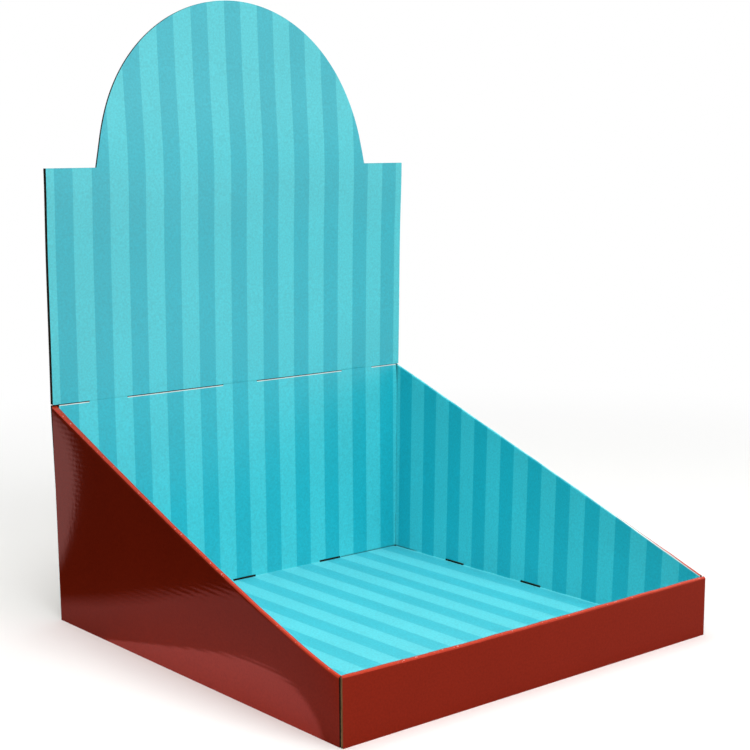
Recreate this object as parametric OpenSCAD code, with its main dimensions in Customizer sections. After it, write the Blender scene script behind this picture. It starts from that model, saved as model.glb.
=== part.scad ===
// Counter display tray of corrugated card with an upright arched header.
// One die-cut sheet folds into the base, the rolled walls, the back wall and the header.
// A plain card of the same outline is glued behind the back wall and the header.
// The front is at -Y, up is +Z, and the origin is the centre of the footprint on the counter.

/* [Tray] */
// Width across the outer faces of the side walls
tray_w = 300; // [240:1:400]
// Depth from the front panel to the rear face of the stiffener
tray_d = 304; // [240:1:400]
// Height of the back wall, where the header folds up
back_h = 146.4; // [110:0.2:190]
// Height of the front lip
lip_h = 39; // [25:1:80]
// Drop of the side walls' rolled edges below the top of the lip
crest_drop = 0.5; // [0.4:0.1:3]
// Gap between the rear end of a rolled edge and the lower edge of the header
crest_clear = 0.7; // [0.4:0.1:3]
// Gap between the front panel and the front ends of the side walls
corner_gap = 1.2; // [0.8:0.1:2.5]

/* [Header] */
// Height of the top of the arch
total_h = 410; // [370:1:480]
// Height of the square shoulders beside the arch
shoulder_h = 300; // [220:1:330]
// Radius of the arch
arch_r = 113; // [70:1:118]

/* [Header fold] */
// Height of the slits cut along the fold
slit_h = 0.6; // [0.4:0.1:2.5]
// Length of each bridge of board left between two slits
bridge_l = 32; // [15:1:45]
// Distance between the centres of neighbouring bridges
bridge_pitch = 108; // [70:1:115]
// Depth of the notch in each side edge of the stiffener, level with the slits
notch_l = 4; // [2:0.5:10]

/* [Board] */
// Thickness of the corrugated board
board_t = 1.6; // [1.2:0.1:2.2]
// Gap between the two plies of a rolled wall
ply_gap = 0.6; // [0.3:0.1:1.2]
// Clearance between panels that fold up beside each other
edge_clear = 0.5; // [0.3:0.1:1]
// Diameter of the relief holes at the corners of the base
relief_d = 3; // [1.5:0.1:5]

/* [Locks] */
// Length of each lock slot
slot_l = 20; // [12:1:35]
// Height of a slot above the base
slot_h = 0.8; // [0.6:0.1:3]
// Reach of a slot over the base, from the foot of the wall
slot_reach = 0.6; // [0.4:0.1:3]
// Distance between neighbouring slots
slot_pitch = 80; // [50:1:95]
// Clearance at each end of a lock tab
tab_clear = 0.4; // [0.2:0.1:1]
// Depth of a tab's end behind the inner face of its wall
tab_recess = 0.8; // [0.1:0.1:1.4]

/* [Hidden] */
$fn = 96;

// Printed face of the tray sheet, and the bare card
tray_colour = "#35b4c4";
card_colour = "#a58257";

// How far a cut runs past the face it opens
overrun = 1;

// A rolled wall is two plies with a half-round fold on top
wall_t = 2 * board_t + ply_gap;
roll_r = wall_t / 2;

// Planes of the walls
front_y = -tray_d / 2;
rear_y = tray_d / 2;
card_y = rear_y - board_t;
back_y = card_y - board_t;
side_x = tray_w / 2;
inner_x = side_x - wall_t;
inner_y = front_y + wall_t;
side_front_y = front_y + board_t + corner_gap;
tuck_x = inner_x - edge_clear;

// Sloped top edge of a side wall, from the lip up to the header
crest_front_z = lip_h - crest_drop;
crest_rear_z = back_h + slit_h - crest_clear;
slope_a = atan2(crest_rear_z - crest_front_z, card_y - front_y);
crest_mid_y = (front_y + card_y) / 2;
crest_mid_z = (crest_front_z + crest_rear_z) / 2;

// A sweep along the slope that is long enough to be cut off square at both ends
sweep_l = 2 * tray_d + 2 * back_h;

// Centre of the arch
arch_z = total_h - arch_r;

// The bridges and the lock slots are set out about the middle
places = [-1, 0, 1];

// Extrudes a section drawn in the plane of depth and height across the tray
module across(half_w) {
    translate([-half_w, 0, 0])
        rotate([90, 0, 90])
            linear_extrude(2 * half_w)
                children();
}

// Extrudes a section drawn in the plane of width and height from the front to the rear
module lengthwise(y_front, y_rear) {
    translate([0, y_rear, 0])
        rotate([90, 0, 0])
            linear_extrude(y_rear - y_front)
                children();
}

// Repeats a shape on the left and the right wall
module both_sides() {
    children();
    mirror([1, 0, 0])
        children();
}

// Half-round fold with its two plies hanging from it; the origin is the centre of the fold
module rolled_section(ply_l) {
    difference() {
        union() {
            circle(r = roll_r);
            translate([-roll_r, -ply_l])
                square([wall_t, ply_l]);
        }
        circle(r = ply_gap / 2);
        translate([-ply_gap / 2, -ply_l - overrun])
            square([ply_gap, ply_l + overrun]);
    }
}

// Fold at the foot of a wall: a quarter round of the board's thickness and the start of the ply
module foot_fold() {
    intersection() {
        circle(r = board_t);
        translate([0, -board_t])
            square(board_t);
    }
    square([board_t, board_t + slot_h]);
}

// Box with one corner given and its far corner given
module block(low, high) {
    translate(low)
        cube(high - low);
}

// Base panel with the folds of the two side walls along its edges
module base_panel() {
    lengthwise(inner_y, back_y) {
        translate([-inner_x, 0])
            square([2 * inner_x, board_t]);
        translate([inner_x, board_t])
            foot_fold();
        translate([-inner_x, board_t])
            mirror([1, 0])
                foot_fold();
    }
}

// Right side wall: an inner ply, a roll along the slope and an outer ply down to the counter
module side_wall() {
    intersection() {
        translate([side_x - roll_r, crest_mid_y, crest_mid_z])
            rotate([90 + slope_a, 0, 0])
                translate([0, -roll_r, 0])
                    linear_extrude(sweep_l, center = true)
                        rolled_section(sweep_l);
        union() {
            block([side_x - roll_r, side_front_y, 0], [side_x, card_y, total_h]);
            block([inner_x, side_front_y, board_t], [side_x - roll_r, card_y, total_h]);
        }
    }
}

// Section of the front wall, with the fold at its foot
module front_section() {
    intersection() {
        translate([front_y + roll_r, lip_h - roll_r])
            rolled_section(lip_h);
        union() {
            translate([front_y, 0])
                square([roll_r, lip_h]);
            translate([front_y + roll_r, board_t])
                square([roll_r, lip_h]);
        }
    }
    translate([inner_y, board_t])
        mirror([1, 0])
            foot_fold();
}

// Front lip: the outer panel runs the full width, the inner ply fits between the side walls
module front_wall() {
    across(tuck_x)
        front_section();
    across(side_x)
        intersection() {
            front_section();
            translate([front_y, 0])
                square([roll_r, lip_h]);
        }
}

// Outline of the header above a given height
module header_outline(foot_z) {
    translate([-side_x, foot_z])
        square([tray_w, shoulder_h - foot_z]);
    translate([-arch_r, foot_z])
        square([2 * arch_r, arch_z - foot_z]);
    translate([0, arch_z])
        intersection() {
            circle(r = arch_r);
            translate([-arch_r, -overrun])
                square([2 * arch_r, arch_r + overrun]);
        }
}

// Slits along the header fold, with the bridges left standing
module fold_slits() {
    difference() {
        translate([-side_x - overrun, back_h])
            square([tray_w + 2 * overrun, slit_h]);
        for (i = places)
            translate([i * bridge_pitch - bridge_l / 2, back_h - overrun])
                square([bridge_l, slit_h + 2 * overrun]);
    }
}

// Back wall and header in one panel, and the fold that joins it to the base
module back_panel() {
    lengthwise(back_y, card_y)
        difference() {
            union() {
                translate([-tuck_x, board_t])
                    square([2 * tuck_x, back_h]);
                header_outline(back_h);
            }
            fold_slits();
        }
    across(tuck_x)
        translate([back_y, board_t])
            foot_fold();
}

// Every lock slot along the feet of the four walls
module lock_slots() {
    for (i = places) {
        block([i * slot_pitch - slot_l / 2, back_y - slot_reach, -overrun],
              [i * slot_pitch + slot_l / 2, card_y + overrun, board_t + slot_h]);
        block([i * slot_pitch - slot_l / 2, inner_y - board_t - ply_gap / 2, -overrun],
              [i * slot_pitch + slot_l / 2, inner_y + slot_reach, board_t + slot_h]);
        both_sides()
            block([inner_x - slot_reach, i * slot_pitch - slot_l / 2, -overrun],
                  [inner_x + board_t + ply_gap / 2, i * slot_pitch + slot_l / 2, board_t + slot_h]);
    }
}

// Lock tabs turned in from the outer plies of the side walls and the front
module lock_tabs() {
    half_l = slot_l / 2 - tab_clear;
    for (i = places) {
        block([i * slot_pitch - half_l, front_y, 0],
              [i * slot_pitch + half_l, inner_y - tab_recess, board_t]);
        both_sides()
            block([inner_x + tab_recess, i * slot_pitch - half_l, 0],
                  [side_x, i * slot_pitch + half_l, board_t]);
    }
}

// Relief holes at the corners of the base, where two folds meet
module corner_reliefs() {
    both_sides()
        for (y = [inner_y, back_y])
            translate([inner_x, y, -overrun])
                cylinder(d = relief_d, h = board_t + overrun + relief_d / 2);
}

// The printed sheet, folded up
module display_tray() {
    color(tray_colour) {
        difference() {
            union() {
                base_panel();
                both_sides()
                    side_wall();
                front_wall();
                back_panel();
            }
            lock_slots();
            corner_reliefs();
        }
        lock_tabs();
    }
}

// Notches in the side edges of the stiffener, which let the header fold
module edge_notches() {
    for (i = [0, 1])
        mirror([i, 0])
            translate([side_x - notch_l, back_h])
                square([notch_l + overrun, slit_h]);
}

// Plain card glued behind the back wall and the header, with tabs into the rear slots
module back_stiffener() {
    half_l = slot_l / 2 - tab_clear;
    color(card_colour) {
        lengthwise(card_y, rear_y)
            difference() {
                header_outline(0);
                edge_notches();
            }
        for (i = places)
            block([i * slot_pitch - half_l, back_y + tab_recess, 0],
                  [i * slot_pitch + half_l, rear_y, board_t]);
    }
}

display_tray();
back_stiffener();
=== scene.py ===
"""Looks of a printed counter display of corrugated board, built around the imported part.

The tray is one folded sheet. It is built from bent panels: each is a grid with a printed face, a
reverse face, and cut edges that lie open between the two liners and show the fluting. A plain
board of the same build stands behind the back wall and the header.
"""
from __future__ import annotations

import logging
import math
from dataclasses import dataclass, field
from enum import Enum, IntEnum

import bpy
import numpy as np
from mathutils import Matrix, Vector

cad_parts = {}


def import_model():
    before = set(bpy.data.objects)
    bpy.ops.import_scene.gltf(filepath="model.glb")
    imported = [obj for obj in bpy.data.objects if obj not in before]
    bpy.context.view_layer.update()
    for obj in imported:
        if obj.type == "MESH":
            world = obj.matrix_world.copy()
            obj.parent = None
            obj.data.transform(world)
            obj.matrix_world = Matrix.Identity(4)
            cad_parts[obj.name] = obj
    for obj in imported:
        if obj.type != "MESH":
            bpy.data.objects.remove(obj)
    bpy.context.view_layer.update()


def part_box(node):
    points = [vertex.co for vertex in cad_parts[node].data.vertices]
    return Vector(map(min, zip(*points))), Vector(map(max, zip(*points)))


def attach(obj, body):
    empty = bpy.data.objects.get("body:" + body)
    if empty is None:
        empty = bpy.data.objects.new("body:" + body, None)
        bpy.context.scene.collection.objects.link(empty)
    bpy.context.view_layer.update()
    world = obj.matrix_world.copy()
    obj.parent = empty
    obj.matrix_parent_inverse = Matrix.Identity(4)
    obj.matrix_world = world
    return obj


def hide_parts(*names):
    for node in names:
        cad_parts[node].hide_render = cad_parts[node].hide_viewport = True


LOG = logging.getLogger("rack")

# Sizes are in millimetres until a mesh is made, and Blender works in metres.
MM = 0.001

# Bridges and lock slots are set out about the middle, in steps of their pitch.
PLACES = (-1.0, 0.0, 1.0)

# Length of one flute, and the distance between two points of a ribbon of fluting
FLUTE_PITCH = 3.3
FLUTE_STEP = 0.33

# Distance between two dark stripes of the print
STRIPE_PITCH = 27.52

# Longest step between two grid lines along the header's outline
OUTLINE_STEP = 2.0

# Distance past the start of the red print, on stretches that have no red
NO_RED = -100.0

# How far a grid line may lie past a limit and still count as on it
SLACK = 0.1

# A right angle, and the directions across the tray, through its back and upward
QUARTER = math.pi / 2
ACROSS, THROUGH, UPWARD = np.eye(3)


class Layer(IntEnum):
    """Material slots of a board."""

    FACE = 0
    RED = 1
    REVERSE = 2
    CUT = 3
    FLUTE = 4


class Mark(Enum):
    """Values that a mesh carries at each corner of its faces, for the materials to read."""

    STRIPE = "stripe_mm"
    CRACK = "crack"
    RUB = "rub"


class Hand(Enum):
    """The two side walls, with the sign of the side that each stands on."""

    LEFT = -1.0
    RIGHT = 1.0


class Part(IntEnum):
    """Stretches of the tray sheet from the front panel's foot to the top of the header."""

    OUTER = 0
    ROLL_OUT = 1
    ROLL_IN = 2
    INNER = 3
    FRONT_FOLD = 4
    BASE = 5
    REAR_FOLD = 6
    BACK = 7
    SLIT = 8
    HEADER = 9


class Ply(IntEnum):
    """Stretches of a side wall from the fold at the base to the outer ply's foot."""

    FOLD = 0
    INNER = 1
    ROLL = 2
    OUTER = 3


def ticks(stops: list[float] | np.ndarray, step: float) -> np.ndarray:
    """Values that pass through every stop, with even steps between neighbouring stops.

    Args:
        stops: values that the result has to contain.
        step: longest step allowed.

    Returns:
        Rising values.
    """
    marks = np.unique(np.round(np.asarray(stops, float), 5))
    # A hair is taken off each count, so that rounding adds no step.
    counts = np.maximum(1, np.ceil(np.diff(marks) / step - 1e-6)).astype(int)
    runs = [np.linspace(a, b, k, endpoint=False) for a, b, k in zip(marks, marks[1:], counts)]
    return np.concatenate(runs + [marks[-1:]])


def middles(values: np.ndarray) -> np.ndarray:
    """Values half way between neighbours."""
    return (values[:-1] + values[1:]) / 2


def resampled(path: np.ndarray, step: float) -> np.ndarray:
    """Points at even distances along a line of straight pieces.

    Args:
        path: corners of the line.
        step: distance between points.

    Returns:
        The new points.
    """
    length = np.concatenate([[0.0], np.cumsum(np.linalg.norm(np.diff(path, axis=0), axis=1))])
    at = np.arange(0, length[-1], step)
    return np.stack([np.interp(at, length, path[:, k]) for k in range(3)], -1)


def linear(hex_colour: str) -> tuple[float, float, float, float]:
    """Turns an sRGB hex colour into the linear colour that a shader takes.

    Args:
        hex_colour: colour such as "#35b4c4".

    Returns:
        Linear red, green, blue and an alpha of 1.
    """
    # The numbers are those of the sRGB standard.
    srgb = np.array([int(hex_colour[i:i + 2], 16) for i in (1, 3, 5)]) / 255
    value = np.where(srgb <= 0.04045, srgb / 12.92, ((srgb + 0.055) / 1.055) ** 2.4)
    return (*value.tolist(), 1.0)


def add(tree: bpy.types.NodeTree, kind: str, feeds: dict | None = None, **settings) -> bpy.types.Node:
    """Adds one shader node.

    Inputs go by number where names repeat: 6 and 7 are the two colours of a Mix, 2 and 3 its two
    values, and 0 to 4 of a MapRange are the value, its range and the range that it turns into.

    Args:
        tree: node tree that takes the node.
        kind: node type without its ShaderNode prefix.
        feeds: what each input takes: a constant, an output, or a node for its first live output.
        settings: properties of the node.

    Returns:
        The new node.
    """
    made = tree.nodes.new("ShaderNode" + kind)
    for name, value in settings.items():
        setattr(made, name, value)
    for key, value in (feeds or {}).items():
        if isinstance(value, bpy.types.Node):
            value = next(socket for socket in value.outputs if socket.enabled)
        if isinstance(value, bpy.types.NodeSocket):
            tree.links.new(value, made.inputs[key])
        else:
            made.inputs[key].default_value = value
    return made


def blank_material(name: str) -> tuple[bpy.types.Material, bpy.types.NodeTree]:
    """Makes a material without nodes.

    Args:
        name: name of the real material.

    Returns:
        The material and its node tree.
    """
    material = bpy.data.materials.new(name)
    material.use_nodes = True
    material.node_tree.nodes.clear()
    return material, material.node_tree


@dataclass(frozen=True)
class RackSizes:
    """Sizes of the rack in millimetres.

    The first four are read from the frame. The others are those of the part's source, apart from
    the arch, the slots, the bridges, the radii and two clearances, which follow a real sample.
    """

    width: float
    depth: float
    height: float
    board: float
    back_h: float = 146.4
    lip_h: float = 39.0
    crest_drop: float = 0.5
    crest_clear: float = 0.7
    corner_gap: float = 1.2
    shoulder_h: float = 300.0
    arch_r: float = 109.5
    arch_lift: float = 1.0
    arch_flare: float = 3.7
    flare_reach: float = 16.0
    arch_points: int = 400
    arch_stride: int = 8
    card_inset: float = 1.6
    slit_h: float = 0.6
    bridge_l: float = 29.0
    bridge_pitch: float = 108.0
    bridge_margin: float = 0.6
    notch_l: float = 4.0
    ply_gap: float = 0.6
    edge_clear: float = 0.2
    relief_r: float = 1.5
    slot_l: float = 20.0
    slot_h: float = 1.2
    slot_reach: float = 0.8
    slot_pitch: float = 80.0
    tab_clear: float = 0.4
    tab_recess: float = 1.5
    fold_r: float = 0.4
    lip_r: float = 1.5
    hollow_r: float = 0.2

    @classmethod
    def from_frame(cls) -> RackSizes:
        """Reads the overall sizes from the frame's boxes.

        Returns:
            The sizes.
        """
        tray_low, tray_high = (np.array(corner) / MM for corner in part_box("display_tray"))
        card_high = np.array(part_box("back_stiffener")[1]) / MM
        return cls(
            width=float(tray_high[0] - tray_low[0]),
            depth=float(card_high[1] - tray_low[1]),
            height=float(tray_high[2]),
            board=float(card_high[1] - tray_high[1]),
        )

    @property
    def side_x(self) -> float:
        """Outer face of a side wall."""
        return self.width / 2

    @property
    def wall_t(self) -> float:
        """Thickness of a rolled wall of two plies."""
        return 2 * self.board + self.ply_gap

    @property
    def inner_x(self) -> float:
        """Inner face of a side wall."""
        return self.side_x - self.wall_t

    @property
    def tuck_x(self) -> float:
        """Half width of the panels that fit between the side walls."""
        return self.inner_x - self.edge_clear

    @property
    def front_y(self) -> float:
        """Outer face of the front panel."""
        return -self.depth / 2

    @property
    def inner_y(self) -> float:
        """Inner face of the front wall."""
        return self.front_y + self.wall_t

    @property
    def card_y(self) -> float:
        """Front face of the stiffener."""
        return self.depth / 2 - self.board

    @property
    def back_y(self) -> float:
        """Front face of the back wall and the header."""
        return self.card_y - self.board

    @property
    def side_front_y(self) -> float:
        """Front end of a side wall."""
        return self.front_y + self.board + self.corner_gap

    @property
    def header_z(self) -> float:
        """Lower edge of the header, above the slits."""
        return self.back_h + self.slit_h

    @property
    def lip_centre(self) -> tuple[float, float]:
        """Depth and height of the centre of the lip's roll."""
        return self.front_y + self.lip_r, self.lip_h - self.lip_r

    @property
    def tab_half(self) -> float:
        """Half length of a lock tab."""
        return self.slot_l / 2 - self.tab_clear

    @property
    def slope(self) -> float:
        """Rise of a side wall's rolled edge for each millimetre of depth."""
        rear_z = self.header_z - self.crest_clear
        return (rear_z - self.lip_h + self.crest_drop) / (self.card_y - self.front_y)

    @property
    def stretch(self) -> float:
        """Upright height of a roll, for each millimetre square to the slope."""
        return math.hypot(1, self.slope)

    def roll_z(self, y: np.ndarray | float, radius: float) -> np.ndarray | float:
        """Height of the centre of a side wall's roll at given depths, below the straight crest."""
        crest = self.lip_h - self.crest_drop + (y - self.front_y) * self.slope
        return crest - radius * self.stretch

    def along(self, y: np.ndarray) -> np.ndarray:
        """Share of a side wall's length that lies in front of given depths."""
        return np.clip((y - self.side_front_y) / (self.card_y - self.side_front_y), 0, 1)

    def arch(self, inset: float = 0.0) -> tuple[np.ndarray, np.ndarray]:
        """Right half of the arch: a circle whose half width flares out towards its feet.

        The flare falls off exponentially with the height above the shoulders. The heights are
        spaced by a square law, closest at the top, where the width changes fastest.

        Args:
            inset: how far the arch lies inside that of the header.

        Returns:
            Half widths from the top to the foot, and their heights.
        """
        radius, middle = self.arch_r - inset, self.height + self.arch_lift - self.arch_r
        drop = (middle + radius - self.shoulder_h) * np.linspace(0, 1, self.arch_points) ** 2
        z = middle + radius - drop
        half = np.sqrt(np.maximum(radius ** 2 - (z - middle) ** 2, 0))
        return half + self.arch_flare * np.exp((self.shoulder_h - z) / self.flare_reach), z

    def top_z(self, x: np.ndarray, inset: float = 0.0) -> np.ndarray:
        """Height of the outline at given places: the arch, and flat shoulders beside it."""
        half, z = self.arch(inset)
        return np.interp(np.abs(x), half, z, right=self.shoulder_h)

    def slot_ends(self) -> list[float]:
        """Both ends of each lock slot along a wall."""
        return [i * self.slot_pitch + e * self.slot_l / 2 for i in PLACES for e in (-1, 1)]

    def columns(self, step: float) -> np.ndarray:
        """Places across the tray where a grid needs a line: cuts, folds and points of the arch.

        Args:
            step: longest step between two lines.

        Returns:
            Rising values of x, the same on both sides of the middle.
        """
        cuts = [self.side_x, self.side_x - self.notch_l, self.tuck_x, self.inner_x - self.fold_r]
        cuts += [self.inner_x - self.slot_reach, self.inner_x - self.relief_r, *self.slot_ends()]
        cuts += [self.arch(inset)[0][-1] for inset in (0, self.card_inset)]
        half = self.bridge_l / 2
        beside = (-half - self.bridge_margin, -half, half, half + self.bridge_margin)
        cuts += [i * self.bridge_pitch + edge for i in PLACES for edge in beside]
        round_x = self.arch()[0][::self.arch_stride]
        right = np.concatenate([np.abs(cuts), round_x[round_x < self.arch_r]])
        return ticks(np.concatenate([right, -right]), step)

    def in_slot(self, value: np.ndarray) -> np.ndarray:
        """True where a place along a wall lies within one of its lock slots."""
        return np.any([np.abs(value - i * self.slot_pitch) < self.slot_l / 2 for i in PLACES], axis=0)

    def on_bridge(self, x: np.ndarray, slack: float = 0.0) -> np.ndarray:
        """True where a place across the tray lies on a bridge of the header's fold."""
        half = self.bridge_l / 2 + slack
        return np.any([np.abs(x - i * self.bridge_pitch) < half for i in PLACES], axis=0)


@dataclass(frozen=True)
class HandMade:
    """How the real board departs from flat panels and straight edges.

    Shifts, reaches and heights are in millimetres; shares, powers and phases are plain numbers.
    """

    header_bow: float = 2.0
    header_curl: float = 2.4
    curl_z: float = 303.0
    curl_reach: float = 42.0
    curl_start: float = 0.25
    lip_lift: float = 1.3
    lift_reach: float = 82.0
    wall_bow: float = 4.8
    bow_skew: float = 0.6
    bow_power: float = 1.4
    wall_lean: float = 0.9
    lean_power: int = 3
    wall_splay: float = 1.8
    splay_power: int = 6
    stiff_z: float = 3.0
    crest_ripple: float = 0.16
    ripple_long: float = 41.0
    ripple_short: float = 9.7
    long_share: float = 0.65
    short_phase: float = 2.3

    def header(self, z: np.ndarray, sizes: RackSizes) -> np.ndarray:
        """How far the header stands forward of its plane.

        It is half a sine wave from the fold to the top, and a bell curve about the shoulders.

        Args:
            z: heights of the points.
            sizes: sizes of the rack.

        Returns:
            Forward shift of each point.
        """
        share = np.clip((z - sizes.back_h) / (sizes.height - sizes.back_h), 0, 1)
        bell = np.exp(-((z - self.curl_z) / self.curl_reach) ** 2)
        curl = bell * np.clip(share / self.curl_start, 0, 1)
        return self.header_bow * np.sin(math.pi * share) + self.header_curl * curl

    def lip(self, x: np.ndarray, sizes: RackSizes) -> np.ndarray:
        """How much higher the lip stands towards its left end: a straight rise over its reach."""
        return self.lip_lift * np.clip(1 - (x + sizes.side_x) / self.lift_reach, 0, 1)

    def up(self, z: np.ndarray, top: np.ndarray | float) -> np.ndarray:
        """Share of a wall's height below given points, counted from its stiff foot."""
        return np.clip((z - self.stiff_z) / (top - self.stiff_z), 0, 1)

    def wall(self, hand: Hand, share: np.ndarray, up: np.ndarray) -> np.ndarray:
        """How far a side wall stands out from its plane, growing with height.

        The left wall bellies in a skewed half wave along it. The right wall leans, least at its
        front end, where the lip holds it.

        Args:
            hand: which wall.
            share: share of the wall's length in front of each point.
            up: share of the wall's height below each point.

        Returns:
            Outward shift of each point.
        """
        if hand is Hand.LEFT:
            return self.wall_bow * np.sin(math.pi * share ** self.bow_skew) * up ** self.bow_power
        return self.wall_lean * (1 - (1 - share) ** self.lean_power) * up

    def splay(self, hand: Hand, share: np.ndarray) -> np.ndarray:
        """How far the left wall's inner ply stands back: a steep power of the share of length."""
        return self.wall_splay * share ** self.splay_power * (hand is Hand.LEFT)

    def ripple(self, along: np.ndarray, phase: float) -> np.ndarray:
        """Unevenness of a rolled edge: two sine waves of unlike length along it.

        Args:
            along: places along the edge.
            phase: where the waves start.

        Returns:
            Rise of each point.
        """
        long_wave = np.sin(along * math.tau / self.ripple_long + phase)
        short_wave = np.sin(along * math.tau / self.ripple_short + self.short_phase * phase)
        mixed = self.long_share * long_wave + (1 - self.long_share) * short_wave
        return self.crest_ripple * mixed


@dataclass
class Panel:
    """Bent panel of board on a grid of n by m points.

    Fields with a value for each point: face and reverse are places; stripe is the distance across
    the print stripes; red is the distance past the line where the red print starts;
    crack is 1 on top of a rolled edge, where the film cracks and the red takes a
    painted highlight; rub is 1 on a painted highlight and below 0 on painted shade in a
    crease; joint marks where the panel carries on into another one and so has no cut edge. solid
    has a value for each cell, False where the board is cut away. With flip the face looks against
    the grid's own direction, and with plain_edge the cut edges beside red print keep the plain
    kraft colour instead of the painted shade of the other cut edges.
    """

    face: np.ndarray
    reverse: np.ndarray
    solid: np.ndarray
    stripe: np.ndarray
    red: np.ndarray
    crack: np.ndarray
    rub: np.ndarray
    joint: np.ndarray
    flip: bool = False
    plain_edge: bool = False

    @classmethod
    def plain(cls, face: np.ndarray, through: np.ndarray, solid: np.ndarray, red: float = 0.0,
              flip: bool = False) -> Panel:
        """A panel of one colour, without marks or joints.

        Args:
            face: places of its face.
            through: the way from the face to the reverse.
            solid: True for each cell that is board.
            red: 1 for red print and 0 for none.
            flip: whether the face looks against the grid's own direction.

        Returns:
            The panel.
        """
        blank = np.zeros(face.shape[:2])
        return cls(face, face + through, solid, blank, blank + red, blank, blank, blank > 0, flip)

    @classmethod
    def tab(cls, low: tuple[float, float], high: tuple[float, float], face_z: float,
            reverse_z: float, red: float = 0.0) -> Panel:
        """A lock tab: a flat panel that lies on the counter.

        Args:
            low: least width and depth.
            high: greatest width and depth.
            face_z: height of its face.
            reverse_z: height of its reverse.
            red: 1 for red print and 0 for none.

        Returns:
            The panel.
        """
        x, y = np.meshgrid(np.linspace(low[0], high[0], 3), np.linspace(low[1], high[1], 3))
        face = np.stack([x, y, 0 * x + face_z], -1)
        through = (reverse_z - face_z) * UPWARD
        return cls.plain(face, through, np.ones((2, 2), bool), red, flip=face_z < reverse_z)

    def corners(self) -> list[np.ndarray]:
        """Point numbers at the four corners of every cell."""
        grid = np.arange(self.joint.size).reshape(self.joint.shape)
        return [grid[:-1, :-1], grid[:-1, 1:], grid[1:, 1:], grid[1:, :-1]]

    def cut_edges(self) -> tuple[np.ndarray, np.ndarray, np.ndarray]:
        """Edges that have solid board on one side only and are no joint.

        Returns:
            First and last point number of each edge, and the direction that leads square off it
            into the panel.
        """
        corners, face, joint = self.corners(), self.face.reshape(-1, 3), self.joint.ravel()
        around = np.pad(self.solid, 1)
        beyond = [around[:-2, 1:-1], around[1:-1, 2:], around[2:, 1:-1], around[1:-1, :-2]]
        bare = [self.solid & ~other for other in beyond]
        start = np.concatenate([corners[k][bare[k]] for k in range(4)])
        end = np.concatenate([corners[(k + 1) % 4][bare[k]] for k in range(4)])
        middle = sum(face[corner] for corner in corners) / 4
        centre = np.concatenate([middle[edge] for edge in bare])
        cut = ~(joint[start] & joint[end])
        start, end, centre = start[cut], end[cut], centre[cut]
        along = face[end] - face[start]
        along /= np.linalg.norm(along, axis=1, keepdims=True)
        inward = centre - face[start]
        inward -= np.sum(inward * along, axis=1, keepdims=True) * along
        return start, end, inward / np.linalg.norm(inward, axis=1, keepdims=True)


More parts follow.
